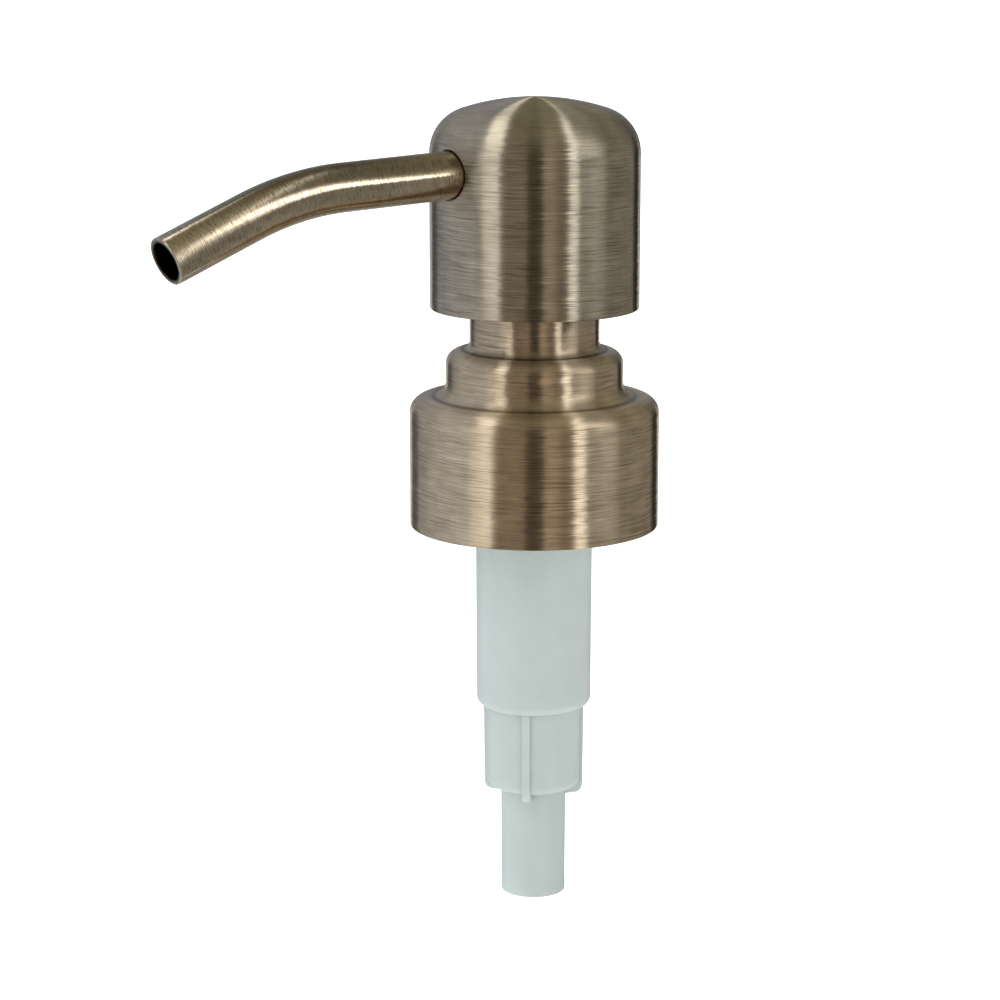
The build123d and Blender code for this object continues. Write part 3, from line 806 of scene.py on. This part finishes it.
@dataclass
class Spout:
    """The bent tube: a nearly level root run, one bend and a straight tip run.

    The axis is a line in the plane of the spout; heights and reaches are from the pump's axis.
    """

    radius: float = 3.1 * MM
    wall: float = 0.65 * MM
    height: float = 35.6 * MM
    droop: float = math.radians(2.2)
    tip_droop: float = math.radians(21.5)
    root: float = 4.2 * MM
    bend_start: float = 29.5 * MM
    bend_radius: float = 41.6 * MM
    reach: float = 54.7 * MM
    sides: int = 72
    bend_steps: int = 28
    rim_round: float = 0.14 * MM
    rim_steps: int = 3
    sharp_edge: float = math.radians(50)
    # Painted shade: how dark the bore is painted, for the shade inside the tube, and how dark the top
    # of the bend is painted, for a dark reflection.
    bore_painted_shade: float = 0.97
    bore_depth: float = 0.6
    top_painted_shade: float = 0.8
    # Bore depth is a share of the wall. The painted shade on top starts this far up (1 is the very
    # top), is thickest at this share of the bend and fades over this many bends.
    painted_shade_from: float = 0.2
    painted_shade_focus: float = 0.4
    painted_shade_spread: float = 1.5

    def root_direction(self) -> Vector:
        """Unit vector along the root run, away from the head."""
        return Vector((0, -math.cos(self.droop), -math.sin(self.droop)))

    def tip_direction(self) -> Vector:
        """Unit vector along the tip run."""
        return Vector((0, -math.cos(self.tip_droop), -math.sin(self.tip_droop)))

    def build(self, material: Material) -> None:
        """Model the tube, cut hollow with rounded rims, and dress it.

        Args:
            material: brushed metal whose grain follows the along attribute.
        """
        axis = Vector((0, 0, self.height))
        start = axis + self.root_direction() * self.root
        bend_start = axis + self.root_direction() * (self.bend_start / math.cos(self.droop))
        across = Vector((0, math.sin(self.droop), -math.cos(self.droop)))
        bend_centre = bend_start + across * self.bend_radius
        turn = self.tip_droop - self.droop
        bend_end = bend_centre + (Matrix.Rotation(turn, 3, "X") @ (-across)) * self.bend_radius
        tip_run = (self.reach + bend_end.y) / math.cos(self.tip_droop)
        tube = ring("spout", self.sides, self.radius, start, math.pi / 2 + self.droop)
        edit_points()
        extrude(bend_start - start)
        bpy.ops.mesh.spin(steps=self.bend_steps, angle=-turn, center=bend_centre, axis=(1, 0, 0))
        extrude(self.tip_direction() * tip_run)
        close_up(WELD)
        apply_modifier(tube, "SOLIDIFY", thickness=self.wall, offset=-1.0)
        apply_modifier(
            tube,
            "BEVEL",
            width=self.rim_round,
            segments=self.rim_steps,
            limit_method="ANGLE",
            angle_limit=self.sharp_edge,
        )
        self.mark_grain_and_shade(tube, bend_start, bend_centre, bend_end)
        smooth(tube)
        finish_piece(tube, "head", material, "spout_tube")

    def mark_grain_and_shade(
        self, tube: Piece, bend_start: Vector, bend_centre: Vector, bend_end: Vector
    ) -> None:
        """Write each point's place along the tube, the way round the tube there, and its painted shade.

        Shade is painted nearly black into the bore, and dark on top of the bend, where it stands for a
        dark reflection.

        Args:
            tube: the tube.
            bend_start: the axis point where the bend starts.
            bend_centre: the bend's centre.
            bend_end: the axis point where the bend ends.
        """
        along = point_values(tube, "along")
        painted_shade = point_values(tube, "painted_shade")
        around = point_values(tube, "round", "FLOAT_VECTOR")
        root_length = (bend_start - Vector((0, 0, self.height))).length
        first = bend_start - bend_centre
        turn = self.tip_droop - self.droop
        for vertex in tube.data.vertices:
            spoke = vertex.co - bend_centre
            angle = math.atan2(first.cross(spoke).x, first.yz.dot(spoke.yz))
            if angle <= 0:
                direction = self.root_direction()
                distance = root_length + (vertex.co - bend_start).dot(direction)
                centre = bend_start
            elif angle >= turn:
                direction = self.tip_direction()
                distance = root_length + self.bend_radius * turn + (vertex.co - bend_end).dot(direction)
                centre = bend_end
            else:
                swing = Matrix.Rotation(angle, 3, "X")
                direction = swing @ self.root_direction()
                distance = root_length + self.bend_radius * angle
                centre = bend_centre + swing @ first
            spoke = (vertex.co - centre) - direction * (vertex.co - centre).dot(direction)
            up = direction.cross(Vector((1, 0, 0)))
            top = max(0.0, up.dot(spoke.normalized()) - self.painted_shade_from)
            off_focus = (angle - self.painted_shade_focus * turn) / (self.painted_shade_spread * turn)
            # Painted shade on top of the bend, thickest part way round it.
            outside = self.top_painted_shade * top * math.exp(-(off_focus**2))
            in_bore = spoke.length < self.radius - self.bore_depth * self.wall
            along[vertex.index].value = distance
            around[vertex.index].vector = direction.cross(spoke).normalized()
            painted_shade[vertex.index].value = self.bore_painted_shade if in_bore else outside


@dataclass
class Head:
    """The pressed cap and the spout."""

    spout: Spout
    crown_radius: float = 31.3 * MM
    corner_radius: float = 6.0 * MM
    sheet: float = 0.6 * MM
    rim_round: float = 0.28 * MM
    inner_round: float = 0.2 * MM
    hole_gap: float = 0.2 * MM
    hole_reach: float = 14 * MM
    hole_depth: float = 6 * MM
    hole_sides: int = 96
    rim_steps: int = 5
    corner_steps: int = 22
    crown_steps: int = 12
    inner_corner_steps: int = 16
    inner_rim_steps: int = 3
    sides: int = 240

    def outline(self) -> Outline:
        """The cap's section: outside from the rim up to the pole, then back down inside."""
        low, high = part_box("head_shell")
        radius, rim, top = high.x, low.z, high.z
        corner_x = radius - self.corner_radius
        crown_z = top - self.crown_radius
        gap = self.crown_radius - self.corner_radius
        lean = math.asin(corner_x / gap)
        corner_z = crown_z + gap * math.cos(lean)
        top_angle = 90 - math.degrees(lean)
        inner_corner = self.corner_radius - self.sheet
        inner_crown = self.crown_radius - self.sheet
        inside = radius - self.sheet
        turn = self.rim_round
        points = arc((radius - turn, rim + turn), turn, -90, 0, self.rim_steps)
        corner, crown = (corner_x, corner_z), (0, crown_z)
        points += arc(corner, self.corner_radius, 0, top_angle, self.corner_steps)
        points += arc(crown, self.crown_radius, top_angle, 90, self.crown_steps)[1:]
        points += arc(crown, inner_crown, 90, top_angle, self.crown_steps)
        points += arc(corner, inner_corner, top_angle, 0, self.inner_corner_steps)[1:]
        turn = self.inner_round
        points += arc((inside + turn, rim + turn), turn, 180, 270, self.inner_rim_steps)
        return points

    def build(self, plate: Material, tube: Material) -> None:
        """Model the cap with its spout hole, then the spout.

        Args:
            plate: finish of the cap.
            tube: finish of the spout.
        """
        cap = lathe("head_cap", self.outline(), self.sides)
        axis = Vector((0, 0, self.spout.height))
        deselect_all()
        bpy.ops.mesh.primitive_cylinder_add(
            vertices=self.hole_sides,
            radius=self.spout.radius + self.hole_gap,
            depth=self.hole_depth,
            location=axis + self.spout.root_direction() * self.hole_reach,
            rotation=(math.pi / 2 + self.spout.droop, 0, 0),
        )
        cut(cap, bpy.context.active_object)
        smooth(cap)
        finish_piece(cap, "head", plate, "head_shell")
        self.spout.build(tube)


@dataclass
class Collar:
    """The spun collar over the threaded closure."""

    sheet: float = 0.6 * MM
    skirt_top: float = 5.3 * MM
    skirt_corner: float = 2.1 * MM
    step_radius: float = 11.7 * MM
    step_top: float = 11.5 * MM
    step_fillet: float = 2.1 * MM
    step_corner: float = 1.85 * MM
    neck_radius: float = 8.55 * MM
    neck_fillet: float = 1.2 * MM
    rim_round: float = 0.28 * MM
    inner_round: float = 0.2 * MM
    # Painted shade along the foot of each fillet, for the dark reflection of the wall beside it: its
    # width and darkness.
    hollow_width: float = 0.35 * MM
    hollow_painted_shade: float = 0.9
    # Where the hollow's line lies, in fillet radii out from the wall and up from the ledge.
    hollow_out: float = 0.8
    hollow_up: float = 0.1
    corner_steps: int = 10
    sides: int = 240

    def build(self, plate: Material) -> None:
        """Model the collar as one sheet of even thickness, with shade painted along its hollows.

        Args:
            plate: its finish.
        """
        low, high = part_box("collar_shell")
        radius, rim, top = high.x, low.z, high.z
        # Each bend of the sheet: its radius, height and outer round, and whether it is a hollow.
        bends = (
            (radius, self.skirt_top, self.skirt_corner, False),
            (self.step_radius, self.skirt_top, self.step_fillet, True),
            (self.step_radius, self.step_top, self.step_corner, False),
            (self.neck_radius, self.step_top, self.neck_fillet, True),
        )
        corners = [(radius, rim, self.rim_round)]
        corners += [bend[:3] for bend in bends]
        corners += [(self.neck_radius, top, self.inner_round)]
        corners += [(self.neck_radius - self.sheet, top, self.inner_round)]
        for x, z, turn, hollow in reversed(bends):
            under = turn + self.sheet if hollow else turn - self.sheet
            corners.append((x - self.sheet, z - self.sheet, under))
        corners.append((radius - self.sheet, rim, self.inner_round))
        outline = rounded(corners, self.corner_steps)
        collar = lathe("screw_collar", outline, self.sides)
        self.paint_hollow_shade(collar)
        smooth(collar)
        finish_piece(collar, "collar", plate, "collar_shell")

    def paint_hollow_shade(self, collar: Piece) -> None:
        """Write how much shade is painted along the hollow at the foot of the neck and of the step.

        Args:
            collar: the turned collar.
        """
        painted_shade = point_values(collar, "painted_shade")
        feet = (
            (self.neck_radius, self.step_top, self.neck_fillet),
            (self.step_radius, self.skirt_top, self.step_fillet),
        )
        lines = [
            (wall + self.hollow_out * fillet, ledge + self.hollow_up * fillet)
            for wall, ledge, fillet in feet
        ]
        for vertex in collar.data.vertices:
            radius = vertex.co.xy.length
            gap = min(math.hypot(radius - x, vertex.co.z - z) for x, z in lines)
            share = math.exp(-((gap / self.hollow_width) ** 2))
            painted_shade[vertex.index].value = self.hollow_painted_shade * share


@dataclass
class ReturnSpring:
    """The open coil between the ball cage and the stem's plug, its wire cut square."""

    wire_radius: float = 0.45 * MM
    mean_radius: float = 4.15 * MM
    turns: int = 10
    wire_sides: int = 14
    turn_steps: int = 40
    sharp_edge: float = math.radians(50)
    pressed_share: float = 0.615

    def build(self, material: Material) -> None:
        """Wind the wire and close its ends.

        Args:
            material: its finish.
        """
        low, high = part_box("spring")
        rise = (high.z - low.z) - 2 * self.wire_radius
        pitch = rise / self.turns
        start = Vector((self.mean_radius, 0, low.z + self.wire_radius))
        coil = ring("return_spring", self.wire_sides, self.wire_radius, start, math.pi / 2)
        apply_modifier(
            coil,
            "SCREW",
            axis="Z",
            angle=2 * math.pi,
            screw_offset=pitch,
            iterations=self.turns,
            steps=self.turn_steps,
            render_steps=self.turn_steps,
            use_merge_vertices=False,
            use_smooth_shade=True,
        )
        only(coil)
        edit_points()
        bpy.ops.mesh.remove_doubles(threshold=WELD)
        bpy.ops.mesh.select_all(action="DESELECT")
        bpy.ops.mesh.select_mode(type="EDGE")
        bpy.ops.mesh.select_non_manifold(extend=False)
        bpy.ops.mesh.edge_face_add()
        close_up(WELD)
        smooth(coil, self.sharp_edge)
        finish_piece(coil, "housing", material, "spring")
        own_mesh(coil)


# ---- studio


@dataclass
class Studio:
    """Camera, floor and plain soft light."""

    azimuth: float = math.radians(54.3)
    elevation: float = math.radians(12.08)
    distance: float = 370.1 * MM
    aim_side: float = -4.54 * MM
    aim_height: float = -8.83 * MM
    lens: float = 100.0
    floor_size: float = 12.0
    near_clip: float = 10 * MM

    TINTS = {
        "white": (1.0, 1.0, 1.0),
        "cool": (1.0, 1.04, 1.14),
        "warm": (1.0, 0.97, 0.90),
        "brown": (1.0, 0.85, 0.72),
        "olive": (1.0, 0.94, 0.70),
    }
    # Each panel: which way a turned wall faces where it shows the panel, in degrees round from the
    # camera and doubled; its brightness; its hue. One ring is for upright walls, one for rounded
    # shoulders and one for level crowns.
    WALL_PANELS = (
        (-160, 1.0, "white"),
        (-156, 0.07, "cool"),
        (-140, 0.10, "cool"),
        (-134, 0.42, "cool"),
        (-105, 0.66, "cool"),
        (-64, 0.78, "cool"),
        (-62, 1.05, "white"),
        (-41, 1.30, "white"),
        (-39, 0.26, "brown"),
        (-26, 0.36, "brown"),
        (-10, 0.36, "brown"),
        (-7, 0.08, "brown"),
        (6, 0.10, "brown"),
        (11, 0.62, "brown"),
        (20, 0.54, "brown"),
        (26, 0.30, "brown"),
        (36, 0.32, "brown"),
        (38.5, 1.8, "white"),
        (46.5, 1.7, "white"),
        (49, 0.20, "warm"),
        (68, 0.21, "warm"),
        (80, 0.38, "warm"),
        (110, 0.38, "warm"),
        (136, 0.36, "warm"),
        (141, 0.02, "brown"),
        (157, 0.02, "brown"),
        (160, 1.0, "white"),
    )
    SHOULDER_PANELS = (
        (-180, 0.3, "cool"),
        (-140, 0.5, "cool"),
        (-100, 0.62, "cool"),
        (-59, 0.60, "cool"),
        (-57, 2.9, "white"),
        (-37, 2.9, "white"),
        (-35, 0.36, "olive"),
        (0, 0.34, "olive"),
        (35, 0.50, "olive"),
        (37, 2.3, "white"),
        (42, 2.1, "white"),
        (45, 0.20, "olive"),
        (75, 0.22, "olive"),
        (110, 0.38, "olive"),
        (140, 0.2, "warm"),
        (180, 0.16, "cool"),
    )
    CROWN_PANELS = (
        (-180, 0.35, "cool"),
        (-90, 0.40, "cool"),
        (-56, 0.16, "cool"),
        (-50, 0.4, "white"),
        (-38, 0.6, "white"),
        (-35, 0.26, "olive"),
        (36, 0.28, "olive"),
        (38, 0.25, "white"),
        (44, 0.20, "white"),
        (48, 0.14, "olive"),
        (90, 0.36, "olive"),
        (180, 0.35, "cool"),
    )
    # How steeply a surface leans back where the next ring takes over.
    SHOULDER_RISE = (0.30, 0.48)
    CROWN_RISE = (0.80, 0.92)
    # Where the rail fades in or out, as the Y or Z part of the direction to it.
    RAIL_ENDS = (("Y", 0.08, 0.20), ("Y", 0.8, 0.70), ("Z", 0.08, 0.16))
    rail_angle: float = math.radians(14.6)
    rail_half_width: float = math.radians(4.6)
    rail_slant: float = math.radians(48.0)
    rail_strength: float = 3.9
    rail_edge: float = math.radians(1.5)
    lamp_tilt: float = math.radians(25.0)
    lamp_angle: float = math.radians(110)
    lamp_energy: float = 1.15
    floor_glow: float = 0.6

    @property
    def right(self) -> Vector:
        """Unit vector to the camera's right."""
        return Vector((math.cos(self.azimuth), math.sin(self.azimuth), 0))

    def toward_camera(self) -> Vector:
        """Unit vector from the aim point to the camera."""
        level = math.cos(self.elevation)
        return Vector(
            (math.sin(self.azimuth) * level, -math.cos(self.azimuth) * level, math.sin(self.elevation))
        )

    def build(self) -> None:
        """Set up the camera, the floor and the light."""
        self.camera()
        self.floor()
        self.world()
        self.lamp()

    def camera(self) -> None:
        """Place the camera, level, with no depth of field."""
        aim = self.right * self.aim_side + Vector((0, 0, self.aim_height))
        data = bpy.data.cameras.new("camera")
        data.lens = self.lens
        data.clip_start = self.near_clip
        data.dof.use_dof = False
        camera = bpy.data.objects.new("camera", data)
        bpy.context.scene.collection.objects.link(camera)
        back = self.toward_camera()
        camera.location = aim + back * self.distance
        camera.rotation_euler = back.to_track_quat("Z", "Y").to_euler()
        bpy.context.scene.camera = camera

    def floor(self) -> None:
        """Lay a pale, softly lit sheet under the tail."""
        low, _ = CAD_BOX
        deselect_all()
        bpy.ops.mesh.primitive_plane_add(size=self.floor_size, location=(0, 0, low[2]))
        floor = bpy.context.active_object
        floor.name = "floor"
        material, tree, shader = new_material("white_acrylic")
        plug(
            tree,
            shader,
            Base_Color=linear("#f4f4f3"),
            Roughness=0.6,
            Specular_IOR_Level=0.0,
            Emission_Color=(1.0, 1.0, 1.0, 1.0),
            Emission_Strength=self.floor_glow,
        )
        dress(floor, material)
        floor.visible_glossy = False

    def world(self) -> None:
        """Surround the object with soft panels.

        The panels are laid out by the surface that shows them to the camera: light from a direction
        is seen by the surface whose normal lies halfway between that direction and the camera. Turned
        walls then show the upright strips with straight sides, right up into the crown.
        """
        world = bpy.data.worlds.new("studio")
        bpy.context.scene.world = world
        world.use_nodes = True
        tree = world.node_tree
        tree.nodes.clear()
        place = add(tree, "ShaderNodeTexCoord").outputs["Generated"]
        half = steer(tree, "NORMALIZE", steer(tree, "ADD", place, self.toward_camera()))
        front = (math.sin(self.azimuth), -math.cos(self.azimuth), 0)
        sideways = steer(tree, "DOT_PRODUCT", half, self.right)
        angle = compute(tree, "ARCTAN2", sideways, steer(tree, "DOT_PRODUCT", half, front))
        share = ranged(tree, angle, -math.pi / 2, math.pi / 2)
        facing = parts_of(tree, half)
        panels = self.panel_ramp(tree, share, self.WALL_PANELS)
        for ring_panels, rise in (
            (self.SHOULDER_PANELS, self.SHOULDER_RISE),
            (self.CROWN_PANELS, self.CROWN_RISE),
        ):
            lift = self.between(tree, facing["Z"], *rise)
            panels = blend(tree, lift, panels, self.panel_ramp(tree, share, ring_panels))
        rail_light = (*(self.rail_strength,) * 3, 1)
        panels = blend(tree, self.rail(tree, place, facing), panels, rail_light)
        lit = add(tree, "ShaderNodeBackground", {"Color": panels})
        plain = add(tree, "ShaderNodeBackground", {"Color": (1, 1, 1, 1)})
        seen = add(tree, "ShaderNodeLightPath").outputs["Is Camera Ray"]
        both = add(tree, "ShaderNodeMixShader", {0: seen, 1: lit.outputs[0], 2: plain.outputs[0]})
        add(tree, "ShaderNodeOutputWorld", {"Surface": both.outputs[0]})

    def between(self, tree: Tree, value: Socket, start: float, end: float) -> Socket:
        """A smooth rise from 0 to 1 as a value goes from start to end."""
        return ranged(tree, value, start, end, interpolation_type="SMOOTHSTEP")

    def rail(self, tree: Tree, place: Socket, facing: Sockets) -> Socket:
        """Where the long light beside the spout hangs, as a share from 0 to 1.

        Args:
            tree: the world's tree.
            place: the direction looked in.
            facing: the halfway normal's three parts.

        Returns:
            A socket.
        """
        slope = compute(tree, "ARCTAN2", facing["Z"], facing["X"])
        slanted = compute(tree, "MULTIPLY_ADD", facing["Y"], self.rail_slant, slope)
        gap = compute(tree, "ABSOLUTE", compute(tree, "SUBTRACT", slanted, self.rail_angle))
        half, edge = self.rail_half_width, self.rail_edge
        share = self.between(tree, gap, half + edge, half - edge)
        toward = parts_of(tree, place)
        for axis, start, end in self.RAIL_ENDS:
            limit = self.between(tree, toward[axis], start, end)
            share = compute(tree, "MULTIPLY", share, limit)
        return share

    def panel_ramp(self, tree: Tree, share: Socket, panels: tuple) -> Socket:
        """Lay a ring of panels round the object.

        Args:
            tree: the world's tree.
            share: where round the ring, from 0 to 1.
            panels: angle, brightness and hue, in order.

        Returns:
            A colour socket.
        """
        ramp = add(tree, "ShaderNodeValToRGB", {0: share})
        set_ramp(
            ramp,
            [
                ((angle + 180) / 360, (*(tone * tint for tint in self.TINTS[hue]), 1))
                for angle, tone, hue in panels
            ],
        )
        return ramp.outputs[0]

    def lamp(self) -> None:
        """Light the floor and the plastic from a wide soft sky, above and to the camera's left."""
        data = bpy.data.lights.new("overhead", "SUN")
        data.angle = self.lamp_angle
        data.energy = self.lamp_energy
        lamp = bpy.data.objects.new("overhead", data)
        bpy.context.scene.collection.objects.link(lamp)
        up = Vector((0, 0, math.cos(self.lamp_tilt)))
        toward_lamp = up - self.right * math.sin(self.lamp_tilt)
        lamp.location = toward_lamp
        lamp.rotation_euler = toward_lamp.to_track_quat("Z", "Y").to_euler()
        lamp.visible_glossy = False


# ---- the whole object


def dress_frame_nodes() -> None:
    """Give each CAD node that still shows the finish of its slot."""
    finishes = {
        "clear_pp": MouldedPlastic("natural_polypropylene", "#b4bfbe", "#b0bbba", glow=0.35),
        "white_pp": MouldedPlastic("white_polypropylene", "#ecece6", "#e2e2dc"),
        "piston_pe": MouldedPlastic("waxy_polyethylene", "#e6eaec", "#dde2e4", roughness=0.45),
        "pom": MouldedPlastic("acetal", "#eceae2", "#e2dfd4", roughness=0.28, glow=0.1),
        "seal_pe": SoftSeal("polyethylene_foam", "#e4e7e4", "#d6dad7"),
        "seal_rubber": SoftSeal("nitrile_rubber", "#1d1d1c", "#262624", roughness=0.6),
        "ball_steel": BrightSteel("polished_steel_ball", "#c6c6c6", "#b4b4b4", 0.08, 1.5 * MM),
    }
    built = {slot: finish.build() for slot, finish in finishes.items()}
    slots = {part["node"]: part["material_slot"] for part in frame["record"]["subparts"]}
    for name, node in frame["nodes"].items():
        if slots[name] in built and not node.hide_render:
            dress(node, built[slots[name]])
            log.info("%s keeps its CAD shape in %s", name, slots[name])


def main() -> None:
    """Build the studio and every piece, in order."""
    logging.basicConfig(level=logging.INFO, format="%(name)s %(message)s")
    bpy.context.scene.view_settings.view_transform = "Standard"
    Studio().build()
    cap_plate = BrushedBronze(
        "brushed_bronze_cap", Grain.TURNED, "#b8ae9a", "#6f6350", "#ddd4c0"
    ).build()
    # Painted light: the collar's plate is the cap's brass painted lighter and warmer, for the brighter,
    # warmer light that the collar catches.
    warm_lit_collar_plate = BrushedBronze(
        "brushed_bronze_collar_warm_lit", Grain.TURNED, "#d4c2a6", "#7c6850", "#f2e4cb"
    ).build()
    tube_plate = BrushedBronze(
        "brushed_bronze_tube",
        Grain.TUBE,
        "#c9bba2",
        "#6e5a40",
        "#e9dcc4",
        pitch=0.12 * MM,
        length=1.0 * MM,
        hairline_share=0.55,
        glint_share=0.3,
        cloud=1.4 * MM,
        roughness=0.18,
        anisotropy=0.7,
        fan=0.0,
    ).build()
    Head(Spout()).build(cap_plate, tube_plate)
    Collar().build(warm_lit_collar_plate)
    steel = BrightSteel("drawn_spring_wire", "#b4b4b2", "#8f8f8c", 0.26, 0.6 * MM).build()
    ReturnSpring().build(steel)
    dress_frame_nodes()


if __name__ == "__main__":
    main()
